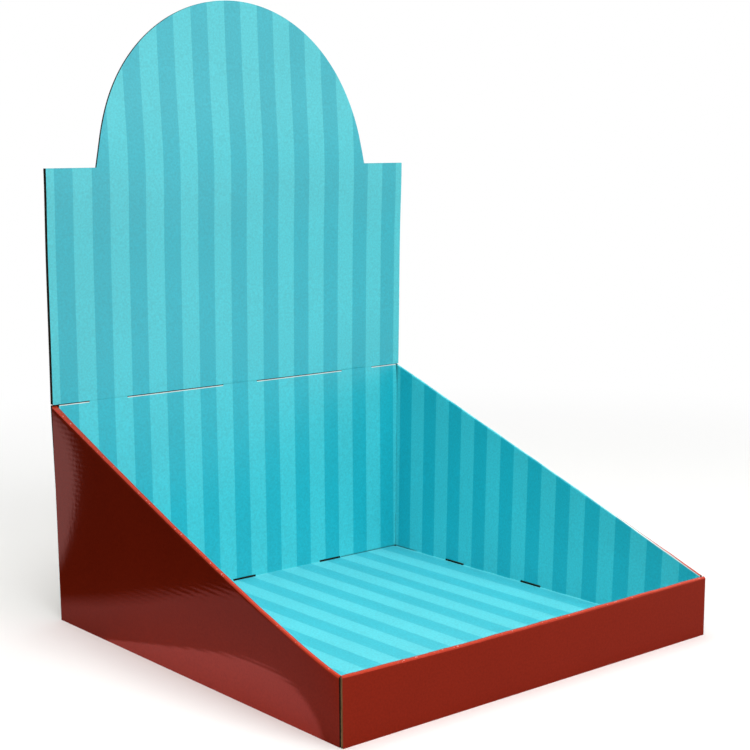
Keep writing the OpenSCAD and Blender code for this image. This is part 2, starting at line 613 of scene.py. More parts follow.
@dataclass
class BoardMesh:
    """Gathers panels and ribbons of fluting into one mesh; sizes are in millimetres.

    liner is what stands up at a cut edge, groove the depth of the edge between two liners, paper
    half the thickness of the fluting, and sunk how far below the edge it starts. mitre_limit keeps
    the mitre of a corner short, decimals says how closely joined points agree, and a bend of more
    than sharp_angle degrees shades as an edge.
    """

    board: float
    liner: float = 0.28
    groove: float = 0.9
    paper: float = 0.1
    sunk: float = 0.1
    mitre_limit: float = 0.5
    decimals: int = 3
    sharp_angle: float = 38.0
    points: list[np.ndarray] = field(default_factory=list)
    quads: list[np.ndarray] = field(default_factory=list)
    layers: list[np.ndarray] = field(default_factory=list)
    marks: list[np.ndarray] = field(default_factory=list)
    joints: list[np.ndarray] = field(default_factory=list)
    count: int = 0

    def put(self, points: np.ndarray, quads: np.ndarray, layers: np.ndarray,
            marks: np.ndarray | None = None, joint: np.ndarray | None = None) -> None:
        """Adds points and faces.

        Args:
            points: places, one row each.
            quads: four point numbers for each face.
            layers: material slot of each face.
            marks: one value for each mark, for each point, or None without print.
            joint: True for the points that are shared with another panel, or None without any.
        """
        marks = np.zeros((len(points), len(Mark))) if marks is None else marks
        self.points.append(points)
        self.quads.append(quads + self.count)
        self.layers.append(layers)
        self.marks.append(marks[quads].reshape(-1, len(Mark)))
        self.joints.append(np.zeros(len(points), bool) if joint is None else joint)
        self.count += len(points)

    def add_panel(self, panel: Panel) -> None:
        """Adds a panel: its two faces, and open cut edges all round what is solid.

        A cut edge steps in between the liners. At each edge point the way in is the mitre of the
        two directions that lead square off the neighbouring edges into the panel.

        Args:
            panel: the panel.
        """
        total = panel.joint.size
        face, reverse = panel.face.reshape(-1, 3), panel.reverse.reshape(-1, 3)
        cells = np.stack(panel.corners(), -1)[panel.solid]
        ink = np.where(panel.red.ravel()[cells].mean(axis=1) > 0, Layer.RED, Layer.FACE)
        start, end, inward = panel.cut_edges()

        # Mitre at each point of an edge
        lead, uses = np.zeros((total, 3)), np.zeros((total, 1))
        for side in (start, end):
            np.add.at(lead, side, inward)
            np.add.at(uses, side, 1)
        rim = np.unique(np.concatenate([start, end]))
        square = np.sum(lead[rim] ** 2, 1, keepdims=True)
        deep = self.groove * uses[rim] * lead[rim] / np.maximum(square, self.mitre_limit)

        # Points of the steps between the face and the reverse, and the five walls that they make
        through = reverse[rim] - face[rim]
        skin = self.liner / np.linalg.norm(through, axis=1, keepdims=True) * through
        upper, lower = face[rim] + skin, reverse[rim] - skin
        steps = np.concatenate([upper, upper + deep, lower + deep, lower])
        if panel.flip:
            cells, start, end = cells[:, ::-1], end, start
        level = 2 * total + len(rim) * np.arange(4)[:, None]
        first, last = (np.vstack([side, level + np.searchsorted(rim, side), side + total])
                       for side in (start, end))
        walls = np.stack([last[:-1], first[:-1], first[1:], last[1:]], -1).reshape(-1, 4)

        quads = np.concatenate([cells, cells[:, ::-1] + total, walls])
        # Cut edges beside red print keep the kraft colour; the rest take the cut colour's painted shade
        unshaded_edge = panel.plain_edge & (panel.red.ravel()[start] > 0)
        edge = np.tile(np.where(unshaded_edge, Layer.REVERSE, Layer.CUT), len(first) - 1)
        layers = np.concatenate([ink, np.full(len(cells), Layer.REVERSE), edge])
        marks = np.stack([panel.stripe.ravel(), panel.crack.ravel(), panel.rub.ravel()], -1)
        marks = np.pad(marks, ((0, total + len(steps)), (0, 0)))
        joint = panel.joint.ravel()
        joint = np.concatenate([joint, joint, np.zeros(len(steps), bool)])
        self.put(np.concatenate([face, reverse, steps]), quads, layers, marks, joint)

    def add_ribbon(self, path: np.ndarray, across: np.ndarray, inward: np.ndarray) -> None:
        """Adds the fluting that shows in a cut edge: a flat strip carried along a sine wave.

        The wave runs along the edge and swings between the two liners; the strip is as deep as
        the groove of the edge, and has a closed rectangular section.

        Args:
            path: points along the middle of the edge, in steps much shorter than a flute.
            across: direction through the board.
            inward: direction into the board, one for all points or one for each.
        """
        gaps = np.linalg.norm(np.diff(path, axis=0), axis=1)
        length = np.concatenate([[0.0], np.cumsum(gaps)])
        swing = self.board / 2 - self.liner - self.paper
        wave = swing * np.sin(length * math.tau / FLUTE_PITCH)
        half, near, far = self.paper, self.sunk, self.sunk + self.groove
        section = [(-half, near), (half, near), (half, far), (-half, far)]
        rings = np.stack([path + (wave + a)[:, None] * across + b * inward for a, b in section], 1)
        grid = np.arange(len(path) * 4).reshape(-1, 4)
        turned = np.roll(grid, -1, axis=1)
        tube = np.stack([grid[:-1], turned[:-1], turned[1:], grid[1:]], -1).reshape(-1, 4)
        quads = np.concatenate([tube, grid[:1, ::-1], grid[-1:]])
        self.put(rings.reshape(-1, 3), quads, np.full(len(quads), Layer.FLUTE))

    def add_straight(self, start: tuple, end: tuple, across: np.ndarray, inward: np.ndarray) -> None:
        """Adds the fluting of a straight cut edge between two points."""
        self.add_ribbon(resampled(np.array([start, end]), FLUTE_STEP), across, inward)

    def build(self, name: str, materials: dict[Layer, bpy.types.Material]) -> bpy.types.Object:
        """Makes the object, with the panels joined where they carry on into each other.

        Args:
            name: name of the piece.
            materials: material of each layer.

        Returns:
            The new object, linked to the scene.
        """
        points, quads = np.concatenate(self.points), np.concatenate(self.quads)
        shared = np.flatnonzero(np.concatenate(self.joints))
        owner = np.arange(len(points))
        if len(shared):
            _, first, group = np.unique(np.round(points[shared], self.decimals), axis=0,
                                        return_index=True, return_inverse=True)
            owner[shared] = shared[first[group.ravel()]]
        used, numbered = np.unique(owner[quads], return_inverse=True)
        mesh = bpy.data.meshes.new(name)
        mesh.from_pydata((points[used] * MM).tolist(), [], numbered.reshape(-1, 4).tolist())
        for layer in Layer:
            mesh.materials.append(materials[layer])
        mesh.polygons.foreach_set("material_index", np.concatenate(self.layers).astype(np.int32))
        for mark, values in zip(Mark, np.concatenate(self.marks).astype(np.float32).T):
            mesh.attributes.new(mark.value, "FLOAT", "CORNER").data.foreach_set("value", values.copy())
        mesh.shade_smooth()
        mesh.set_sharp_from_angle(angle=math.radians(self.sharp_angle))
        mesh.validate()
        piece = bpy.data.objects.new(name, mesh)
        bpy.context.scene.collection.objects.link(piece)
        return piece


def outline_edge(sizes: RackSizes, hand_made: HandMade, y: float,
                 inset: float = 0.0) -> tuple[np.ndarray, np.ndarray, np.ndarray]:
    """The top edge of the header or of the card behind it, as the path of a ribbon.

    Args:
        sizes: sizes of the rack.
        hand_made: how the header bellies.
        y: depth of the middle of the board.
        inset: how far the arch lies inside the header's.

    Returns:
        The path, the direction through the board and the direction into it at each point, which
        is the edge's own direction turned by a right angle.
    """
    x = sizes.columns(OUTLINE_STEP)
    path = resampled(np.stack([x, np.full_like(x, y), sizes.top_z(x, inset)], -1), FLUTE_STEP)
    way = np.gradient(path, axis=0)
    way /= np.linalg.norm(way, axis=1, keepdims=True)
    inward = np.stack([way[:, 2], 0 * way[:, 1], -way[:, 0]], -1)
    path[:, 1] -= hand_made.header(path[:, 2], sizes)
    return path, THROUGH, inward


@dataclass(frozen=True)
class WallFold:
    """Pressed top fold of a side wall, in millimetres.

    The red print starts at red_front at the wall's front end and at red_rear further back, both
    counted round the roll from its top.
    """

    radius: float
    red_front: float
    red_rear: float


@dataclass(frozen=True)
class Leg:
    """One stretch of the tray sheet's path: depths and heights of its face and its reverse."""

    part: Part
    face: tuple[np.ndarray, np.ndarray]
    back: tuple[np.ndarray, np.ndarray]

    @classmethod
    def bend(cls, part: Part, centre: tuple[float, float], radii: tuple[float, float],
             angles: tuple[float, float], count: int) -> Leg:
        """A stretch bent round a circle.

        Args:
            part: which stretch.
            centre: depth and height of the circle's centre.
            radii: radius of the face and of the reverse.
            angles: first and last angle in degrees.
            count: number of points.

        Returns:
            The stretch.
        """
        turn = np.radians(np.linspace(*angles, count))
        face, back = ((centre[0] + r * np.cos(turn), centre[1] + r * np.sin(turn)) for r in radii)
        return cls(part, face, back)


@dataclass
class TraySheet:
    """The printed sheet: front lip, base, back wall, header and the two rolled side walls."""

    sizes: RackSizes
    hand_made: HandMade
    left_fold: WallFold = WallFold(radius=1.4, red_front=-1.6, red_rear=-1.6)
    right_fold: WallFold = WallFold(radius=1.0, red_front=-1.1, red_rear=0.5)

    # Spacing of the grids; shares are of a ply's or the header's height
    grid_step: float = 7.0
    roll_steps: int = 13
    fold_steps: int = 5
    seam: float = 0.6
    ply_rows: int = 9
    climb_end: float = 0.975
    fall_start: float = 0.02
    fall_next: float = 0.12
    header_rows: int = 30
    slit_rise: float = 0.004
    row_rise: float = 0.03

    # Print stripes of the side walls, and where the red starts
    wall_stripe_pitch: float = 27.72
    wall_stripe_y: float = 138.35
    red_run: float = 0.33
    lip_red_start: float = -0.9

    # Corners of the back wall, which stand open at the top, and slits that close to the right
    corner_open: float = 1.6
    gape_reach: float = 18.0
    gape_power: float = 1.5
    slit_close: float = 0.25
    close_x: float = 20.0
    close_reach: float = 120.0
    crease_dip: float = 0.08

    # Cracks of the rolls; painted highlights at slits, folds and right crest; painted shade in creases
    slit_highlight_reach: float = 0.4
    fold_painted_highlight: float = 0.15
    crease_painted_shade: float = -0.8
    crease_shade_from: float = 0.92
    bridge_share: float = 0.15
    crack_turn: float = 0.95
    crest_highlight_at: float = -0.4
    crest_highlight_reach: float = 0.52
    crest_highlight_fade: float = 0.5
    lip_phase: float = 0.4
    wall_phase: float = 1.7

    def fold(self, hand: Hand) -> WallFold:
        """The top fold of a side wall."""
        return self.left_fold if hand is Hand.LEFT else self.right_fold

    def base_rows(self) -> np.ndarray:
        """Depths of the base's grid lines, which the side walls share.

        Returns:
            Rising depths.
        """
        s = self.sizes
        insets = (s.fold_r, s.slot_reach, s.relief_r)
        stops = [s.inner_y + inset for inset in insets] + [s.back_y - inset for inset in insets]
        return ticks(stops + s.slot_ends(), self.grid_step)

    def header_rise(self) -> np.ndarray:
        """Shares of the header's height at its rows; the first lies close above the slits."""
        return np.concatenate([[self.slit_rise], np.linspace(self.row_rise, 1, self.header_rows)])

    def path(self) -> list[Leg]:
        """Stretches of the main strip below the header, in the plane of depth and height.

        They run up the front panel, round the roll, down inside, round the fold into the base,
        along it, round the rear fold and up the back to the top of the slits.

        Returns:
            The stretches; each starts where the one before it ends.
        """
        s, step = self.sizes, self.grid_step
        t, r, f, hollow = s.board, s.lip_r, s.fold_r, s.hollow_r
        roll_y, roll_z = s.lip_centre
        z = ticks([0, roll_z - self.seam, roll_z], step)
        inside = s.front_y + t + (r - hollow - t) * z / roll_z
        legs = [Leg(Part.OUTER, (0 * z + s.front_y, z), (inside, z))]
        for part, angles in ((Part.ROLL_OUT, (180, 90)), (Part.ROLL_IN, (90, 0))):
            legs.append(Leg.bend(part, s.lip_centre, (r, hollow), angles, self.roll_steps))
        z = ticks([t + f, t + s.slot_h, roll_z - self.seam, roll_z], step)[::-1]
        up = (z - t - f) / (roll_z - t - f)
        legs.append(Leg(Part.INNER, (s.inner_y + (roll_y + r - s.inner_y) * up, z),
                        (s.inner_y - t + (roll_y + hollow - s.inner_y + t) * up, z)))
        y = self.base_rows()
        radii, count = (f, f + t), self.fold_steps
        legs.append(Leg.bend(Part.FRONT_FOLD, (s.inner_y + f, t + f), radii, (180, 270), count))
        legs.append(Leg(Part.BASE, (y, 0 * y + t), (y, 0 * y)))
        legs.append(Leg.bend(Part.REAR_FOLD, (s.back_y - f, t + f), radii, (270, 360), count))
        # Rows of the painted highlight below the slits
        painted_highlight = [s.back_h - k * self.slit_highlight_reach for k in (2, 1, 0)]
        z = ticks([t + f, t + s.slot_h, *painted_highlight], step)
        legs.append(Leg(Part.BACK, (0 * z + s.back_y, z), (0 * z + s.card_y, z)))
        z = np.array([s.back_h, s.back_h + s.slit_h / 2, s.header_z])
        dip = self.crease_dip * np.array([0, 1, 0])
        legs.append(Leg(Part.SLIT, (s.back_y + dip, z), (0 * z + s.card_y, z)))
        return legs

    def spread(self, x: np.ndarray, yz: np.ndarray, part: np.ndarray) -> np.ndarray:
        """Carries one face of the path across the tray and adds the header above it.

        The header's rows are even shares of the height up to the outline. The face is then bent
        as the real board is: the header bows, the edges of the back wall follow the side walls,
        the lip rises on the left, and the slits close to the right.

        Args:
            x: grid lines across the tray.
            yz: depth and height of each row below the header.
            part: stretch that each row belongs to, as a column.

        Returns:
            Place of each point.
        """
        s, hand_made = self.sizes, self.hand_made
        low_y, low_z = (np.repeat(yz[:, k:k + 1], len(x), 1) for k in (0, 1))
        high_z = s.header_z + self.header_rise()[:, None] * (s.top_z(x) - s.header_z)
        z = np.concatenate([low_z, high_z])
        y = np.concatenate([low_y, np.full_like(high_z, yz[-1, 0])]) - hand_made.header(z, s)
        edge = np.isclose(np.abs(x), s.tuck_x) & (part == Part.BACK)
        left, right = (hand.value * self.corner_lean(hand, z) for hand in Hand)
        lean = np.where(edge, np.where(x < 0, left, right), 0)
        z = z + (part <= Part.INNER) * hand_made.up(z, s.lip_centre[1]) * hand_made.lip(x, s)
        closed = np.isclose(z, s.header_z) * np.clip((x - self.close_x) / self.close_reach, 0, 1)
        return np.stack([x + lean, y, z - self.slit_close * closed], -1)

    def roll_marks(self, on_roll: np.ndarray, turn: np.ndarray) -> tuple[np.ndarray, np.ndarray]:
        """How far a roll cracks and takes a painted highlight, and how much of the edge's ripple it
        takes.

        Args:
            on_roll: True for the points of the roll.
            turn: angle of each point about the roll's centre, upward at a right angle.

        Returns:
            Both shares for each point: a cosine about the cracked line, and the sine.
        """
        crack = np.where(on_roll, np.clip(np.cos(turn - self.crack_turn), 0, 1), 0)
        return crack, np.where(on_roll, np.clip(np.sin(turn), 0, 1), 0)

    def main_strip(self) -> Panel:
        """Front lip, base, back wall and header as one strip: a path carried across the tray.

        Returns:
            The panel.
        """
        s, legs, x = self.sizes, self.path(), self.sizes.columns(self.grid_step)
        face_yz, back_yz = (
            np.concatenate([np.stack(run, -1)[min(k, 1):] for k, run in enumerate(runs)])
            for runs in ([leg.face for leg in legs], [leg.back for leg in legs]))
        cell_part = np.repeat([leg.part for leg in legs], [len(leg.face[0]) - 1 for leg in legs])
        cell_part = np.concatenate([cell_part, np.full(len(self.header_rise()), Part.HEADER)])
        part = np.concatenate([[Part.OUTER], cell_part])[:, None]
        face, back = (self.spread(x, yz, part) for yz in (face_yz, back_yz))

        # Red print and cracks of the lip, by the angle about the centre of its roll
        roll_y, roll_z = s.lip_centre
        on_roll = np.isin(part, (Part.ROLL_OUT, Part.ROLL_IN))
        above = face[..., 2] - self.hand_made.lip(x, s) - roll_z
        turn = np.arctan2(above, roll_y - face[..., 1])
        red = np.where(on_roll, (QUARTER - turn) * s.lip_r, NO_RED)
        red = np.where(part == Part.OUTER, QUARTER * s.lip_r - np.minimum(above, 0), red)
        crack, top = self.roll_marks(on_roll, turn)
        face[..., 2] += self.hand_made.ripple(face[..., 0], self.lip_phase) * top

        # Painted highlights beside the slits; painted shade in creases at the right rear and bridges
        bridge = s.on_bridge(x, SLACK)
        by_slit = (face[..., 2] > s.back_h - self.slit_highlight_reach - SLACK) & (part == Part.BACK)
        rub = np.where(by_slit & ~bridge, 1.0, 0.0)
        shaded_fold = (part == Part.REAR_FOLD) & (x > s.slot_ends()[-1] + SLACK)
        rub = np.where(shaded_fold, self.crease_painted_shade, rub)
        rub = np.where((part == Part.SLIT) & bridge, self.bridge_share * self.crease_painted_shade, rub)
        base_edge = np.isclose(np.abs(x), s.inner_x - s.fold_r) & np.isclose(face[..., 2], s.board)
        joint = base_edge & (part >= Part.FRONT_FOLD) & (part <= Part.BASE)
        solid, stripe = self.main_solid(x, cell_part[:, None], face_yz), np.broadcast_to(x, red.shape)
        return Panel(face, back, solid, stripe, red - self.lip_red_start, crack, rub, joint,
                     plain_edge=True)

    def corner_lean(self, hand: Hand, z: np.ndarray) -> np.ndarray:
        """How far a side edge of the back wall follows the side wall outward.

        The shift grows with height, by the wall's own shift and by how much thinner it is at its
        pressed top, and falls back near the top, where the corner stands open.

        Args:
            hand: which side wall.
            z: heights of the points.

        Returns:
            Outward shift of each point.
        """
        s, radius = self.sizes, self.fold(hand).radius
        up = self.hand_made.up(z, s.roll_z(s.card_y, radius))
        gape = np.clip((z - s.back_h + self.gape_reach) / self.gape_reach, 0, 1) ** self.gape_power
        follow = (s.wall_t - 2 * radius) * up + self.hand_made.wall(hand, np.ones(1), up)
        return follow - self.corner_open * gape

    def main_solid(self, x: np.ndarray, part: np.ndarray, face_yz: np.ndarray) -> np.ndarray:
        """Says which cells of the main strip are board.

        Args:
            x: grid lines across the tray.
            part: stretch that each row of cells belongs to, as a column.
            face_yz: depth and height of the grid lines below the header.

        Returns:
            True for each cell that is board.
        """
        s = self.sizes
        xm = np.abs(middles(x))[None, :]
        mid = np.full((len(part), 2), s.height)
        mid[:len(face_yz) - 1] = middles(face_yz)
        ym, zm = mid[:, :1], mid[:, 1:]
        base, fold = part == Part.BASE, np.isin(part, (Part.FRONT_FOLD, Part.REAR_FOLD))
        narrow = (part >= Part.ROLL_IN) & (part <= Part.BACK)
        limit = np.where(base, s.inner_x - s.fold_r, np.where(narrow, s.tuck_x, s.side_x))
        solid = (xm < limit) & ((part != Part.SLIT) | s.on_bridge(xm))

        # Lock slots along the front, the rear and the sides, and relief holes at the corners
        near = np.minimum(ym - s.inner_y, s.back_y - ym)
        low = np.isin(part, (Part.INNER, Part.BACK)) & (zm < s.board + s.slot_h)
        solid &= ~((low | fold | (base & (near < s.slot_reach))) & s.in_slot(xm))
        solid &= ~(base & s.in_slot(ym) & (xm > s.inner_x - s.slot_reach))
        corner = (base & (near < s.relief_r)) | fold
        return solid & ~(corner & (xm > s.inner_x - s.relief_r))

    def wall_rows(self) -> list[np.ndarray]:
        """Grid lines of each stretch of a side wall, as columns.

        Returns:
            In the order of Ply: angles of the fold, shares of the inner ply's height, angles of
            the roll, and shares of the outer ply's height from its top.
        """
        rows = (
            np.radians(np.linspace(270, 360, self.fold_steps)),
            np.concatenate([np.linspace(0, self.climb_end, self.ply_rows), [1.0]]),
            np.radians(np.linspace(180, 0, 2 * self.roll_steps - 1))[1:],
            np.concatenate([[self.fall_start], np.linspace(self.fall_next, 1, self.ply_rows)]),
        )
        return [values[:, None] for values in rows]

    def wall_face(self, y: np.ndarray, press_r: float, radii: tuple[float, float],
                  feet: tuple[float, float]) -> np.ndarray:
        """One face of a right side wall, before it is bent out of its plane.

        The path lies in the plane of width and height: round the fold at the base, up the inner
        ply, round the roll and down the outer ply. The roll's centre follows the slope, and its
        height is stretched by the slope, so that it is round when it is seen along the slope.

        Args:
            y: depths of the grid lines.
            press_r: outer radius of the wall's roll.
            radii: radius of this face in the fold and on the roll.
            feet: places of the inner and the outer ply's feet.

        Returns:
            Place of each point.
        """
        s, (fold_r, roll_r), (in_x, out_x) = self.sizes, radii, feet
        bend, climb, turn, fall = self.wall_rows()
        roll_x, roll_z = s.side_x - press_r, s.roll_z(y, press_r)
        low = s.board + s.slot_h
        x = np.concatenate([
            s.inner_x - s.fold_r + fold_r * np.cos(bend),
            in_x + climb * (roll_x - roll_r - in_x),
            roll_x + roll_r * np.cos(turn),
            roll_x + roll_r + fall * (out_x - roll_x - roll_r)])
        z = np.concatenate([
            s.board + s.fold_r + fold_r * np.sin(bend) + 0 * y,
            low + climb * (roll_z - low),
            roll_z + s.stretch * roll_r * np.sin(turn),
            (1 - fall) * roll_z])
        return np.stack(np.broadcast_arrays(x, y, z), -1)

    def side_wall(self, hand: Hand) -> Panel:
        """A side wall as a strip: a path carried from front to rear and bent as the real wall is.

        Args:
            hand: which wall.

        Returns:
            The panel.
        """
        s, hand_made, fold = self.sizes, self.hand_made, self.fold(hand)
        r, t, is_right = fold.radius, s.board, hand is Hand.RIGHT
        y = np.concatenate([[s.side_front_y], self.base_rows(), [s.card_y]])
        share, roll_z = s.along(y), s.roll_z(y, r)
        face = self.wall_face(y, r, (s.fold_r, r), (s.inner_x, s.side_x))
        back = self.wall_face(y, r, (s.fold_r + t, s.hollow_r), (s.inner_x + t, s.side_x - t))
        rows = self.wall_rows()
        ply = np.repeat(list(Ply), [len(values) for values in rows])[:, None]
        on_roll = ply == Ply.ROLL
        turn = np.zeros(ply.shape)
        turn[on_roll] = rows[Ply.ROLL].ravel()

        # Red print and cracks, by the distance round the roll and down the outer ply
        down = QUARTER * r + roll_z - face[..., 2]
        red = np.where(on_roll, (QUARTER - turn) * r, np.where(ply == Ply.OUTER, down, -down))
        later = np.minimum(share / self.red_run, 1) * (fold.red_rear - fold.red_front)
        red = red - (fold.red_front + later)
        crack, top = self.roll_marks(on_roll, turn)
        face[..., 2] += top * hand_made.ripple(face[..., 1], self.wall_phase * hand.value)

        for side in (face, back):
            up = hand_made.up(side[..., 2], roll_z)
            inward = np.clip((s.side_x - side[..., 0]) / (2 * r), 0, 1)
            shift = hand_made.wall(hand, share, up) - hand_made.splay(hand, share) * up * inward
            side[..., 0] = hand.value * (side[..., 0] + shift)

        # Cells of the fold end before the relief holes, and the slots reach into the inner ply
        ym, is_fold = middles(y), ply == Ply.FOLD
        near = np.minimum(ym - s.inner_y, s.back_y - ym)
        clear = (ym > y[1]) & (ym < y[-2]) & (near > s.relief_r)
        solid = (~is_fold[1:] | clear) & ~(is_fold[:-1] & s.in_slot(ym))
        joint = (np.arange(len(ply)) == 0)[:, None] & (y >= y[1]) & (y <= y[-2])
        scale = STRIPE_PITCH / self.wall_stripe_pitch
        stripe = np.broadcast_to((y - self.wall_stripe_y) * scale, red.shape)
        # Painted highlight along the right roll's crest, weaker to the rear, and on the wall folds;
        # painted shade in the right fold near the rear
        bell = np.exp(-((red - self.crest_highlight_at) / self.crest_highlight_reach) ** 2)
        crest_highlight = bell * (1 - self.crest_highlight_fade * share) * is_right
        crease = np.where((share > self.crease_shade_from) & is_right, self.crease_painted_shade, self.fold_painted_highlight)
        rub = np.where(is_fold, crease, np.where(on_roll, crest_highlight, 0.0))
        return Panel(face, back, solid, stripe, red, np.broadcast_to(crack, red.shape), rub, joint,
                     flip=is_right)

    def tabs(self) -> list[Panel]:
        """The lock tabs of the front panel and of the outer plies, with the red face downward.

        Returns:
            One panel for each tab.
        """
        s, made = self.sizes, []
        for place in (i * s.slot_pitch for i in PLACES):
            low, high = place - s.tab_half, place + s.tab_half
            boxes = [((low, s.front_y + s.board), (high, s.inner_y - s.tab_recess))]
            for hand in Hand:
                ends = sorted(hand.value * x for x in (s.inner_x + s.tab_recess, s.side_x - s.board))
                boxes.append(((ends[0], low), (ends[1], high)))
            made += [Panel.tab(*box, face_z=0.0, reverse_z=s.board, red=1.0) for box in boxes]
        return made

    def add_flutes(self, board: BoardMesh) -> None:
        """Adds the fluting where it is cut across: header outline, front foot, ends of the walls.

        Args:
            board: mesh that takes the ribbons.
        """
        s, half = self.sizes, self.sizes.board / 2
        board.add_ribbon(*outline_edge(s, self.hand_made, s.back_y + half))
        y, end = s.front_y + half, s.side_front_y
        board.add_straight((-s.side_x, y, 0.0), (s.side_x, y, 0.0), THROUGH, UPWARD)
        for hand in Hand:
            top = s.roll_z(end, self.fold(hand).radius)
            for ply_x, z in ((s.inner_x + half, s.board), (s.side_x - half, 0.0)):
                x = hand.value * ply_x
                board.add_straight((x, end, z), (x, end, top), ACROSS, THROUGH)

    def build(self, materials: dict[Layer, bpy.types.Material]) -> bpy.types.Object:
        """Builds the folded sheet.

        Args:
            materials: material of each layer of the board.

        Returns:
            The piece.
        """
        board = BoardMesh(self.sizes.board)
        for panel in (self.main_strip(), *(self.side_wall(hand) for hand in Hand), *self.tabs()):
            board.add_panel(panel)
        self.add_flutes(board)
        return board.build("folded_sheet", materials)

    def dress(self, piece: bpy.types.Object) -> None:
        """Ties the piece to the frame and hides the part of the frame that it replaces.

        Args:
            piece: the built piece.
        """
        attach(piece, "root")
        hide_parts("display_tray")


@dataclass
class StiffenerCard:
    """The plain board behind the back wall and the header, narrower towards its foot."""

    sizes: RackSizes
    hand_made: HandMade
    grid_step: float = 9.0
    header_rows: int = 27
    foot_inset: float = 1.2
    inset_reach: float = 80.0

    def card(self) -> Panel:
        """The card as a flat grid that spreads up to the header's outline, with edge notches.

        Returns:
            The panel.
        """
        s = self.sizes
        x = s.columns(self.grid_step)
        low = np.concatenate([ticks([0, s.back_h], self.grid_step), [s.header_z]])
        rise = np.linspace(0, 1, self.header_rows + 1)[1:, None]
        z = np.concatenate([np.repeat(low[:, None], len(x), 1),
                            s.header_z + rise * (s.top_z(x, s.card_inset) - s.header_z)])
        y = s.card_y - self.hand_made.header(z, s)
        narrow = self.foot_inset / s.side_x * np.clip((s.back_h - z) / self.inset_reach, 0, 1)
        face = np.stack([x * (1 - narrow), y, z], -1)
        level = (np.arange(len(z) - 1) == len(low) - 2)[:, None]
        notch = level & (np.abs(middles(x)) > s.side_x - s.notch_l)
        return Panel.plain(face, s.board * THROUGH, ~notch)

    def tabs(self) -> list[Panel]:
        """The tabs of the card that reach into the rear slots, with the reverse downward.

        Returns:
            One panel for each tab.
        """
        s = self.sizes
        front, rear = s.back_y + s.tab_recess, s.card_y
        places = [i * s.slot_pitch for i in PLACES]
        return [Panel.tab((place - s.tab_half, front), (place + s.tab_half, rear),
                          face_z=s.board, reverse_z=0.0) for place in places]

    def build(self, materials: dict[Layer, bpy.types.Material]) -> bpy.types.Object:
        """Builds the card.

        Args:
            materials: material of each layer of the board.

        Returns:
            The piece.
        """
        s = self.sizes
        board = BoardMesh(s.board)
        for panel in (self.card(), *self.tabs()):
            board.add_panel(panel)
        middle, end = s.card_y + s.board / 2, s.side_x - self.foot_inset
        board.add_ribbon(*outline_edge(s, self.hand_made, middle, s.card_inset))
        board.add_straight((-end, middle, 0.0), (end, middle, 0.0), THROUGH, UPWARD)
        return board.build("stiffener_card", materials)

    def dress(self, piece: bpy.types.Object) -> None:
        """Ties the piece to the frame and hides the part of the frame that it replaces.

        Args:
            piece: the built piece.
        """
        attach(piece, "root")
        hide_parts("back_stiffener")


